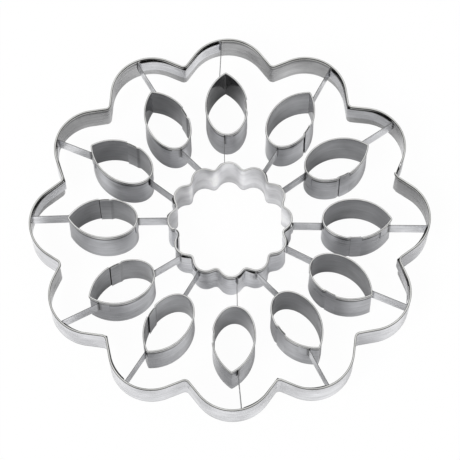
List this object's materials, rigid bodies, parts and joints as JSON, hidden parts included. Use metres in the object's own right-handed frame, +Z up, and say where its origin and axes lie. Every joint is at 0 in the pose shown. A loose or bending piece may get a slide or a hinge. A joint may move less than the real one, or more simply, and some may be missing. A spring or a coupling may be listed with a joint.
{
  "type": "pie crust cutter",
  "caption": "Round scalloped cutter of bent steel strips: leaf shapes stand between an outer ring and a small centre ring, to stamp a pie's top crust and its vents.",
  "frame": {"origin": "centre of the cutter on the surface that its lower cutting edges stand on", "axes": "+Z up along the cutter's axis, +Y towards the leaf and crown at the top of the picture"},
  "size_m": [0.2614, 0.2614, 0.033],
  "materials": {
    "outer_strip": "satin bright",
    "leaf_strip": "satin",
    "centre_strip": "soft satin",
    "bracket_strip": "satin"
  },
  "bodies": {
    "root": {"outer_ring": "outer_strip", "centre_ring": "centre_strip", "leaf_cutter_01": "leaf_strip", "leaf_cutter_02": "leaf_strip", "leaf_cutter_03": "leaf_strip", "leaf_cutter_04": "leaf_strip", "leaf_cutter_05": "leaf_strip", "leaf_cutter_06": "leaf_strip", "leaf_cutter_07": "leaf_strip", "leaf_cutter_08": "leaf_strip", "leaf_cutter_09": "leaf_strip", "leaf_cutter_10": "leaf_strip", "leaf_cutter_11": "leaf_strip", "leaf_cutter_12": "leaf_strip", "outer_bracket_1": "bracket_strip", "outer_bracket_2": "bracket_strip", "outer_bracket_3": "bracket_strip", "outer_bracket_4": "bracket_strip", "outer_bracket_5": "bracket_strip", "outer_bracket_6": "bracket_strip", "inner_bracket_1": "bracket_strip", "inner_bracket_2": "bracket_strip", "inner_bracket_3": "bracket_strip", "inner_bracket_4": "bracket_strip", "inner_bracket_5": "bracket_strip", "inner_bracket_6": "bracket_strip"}
  },
  "joints": []
}
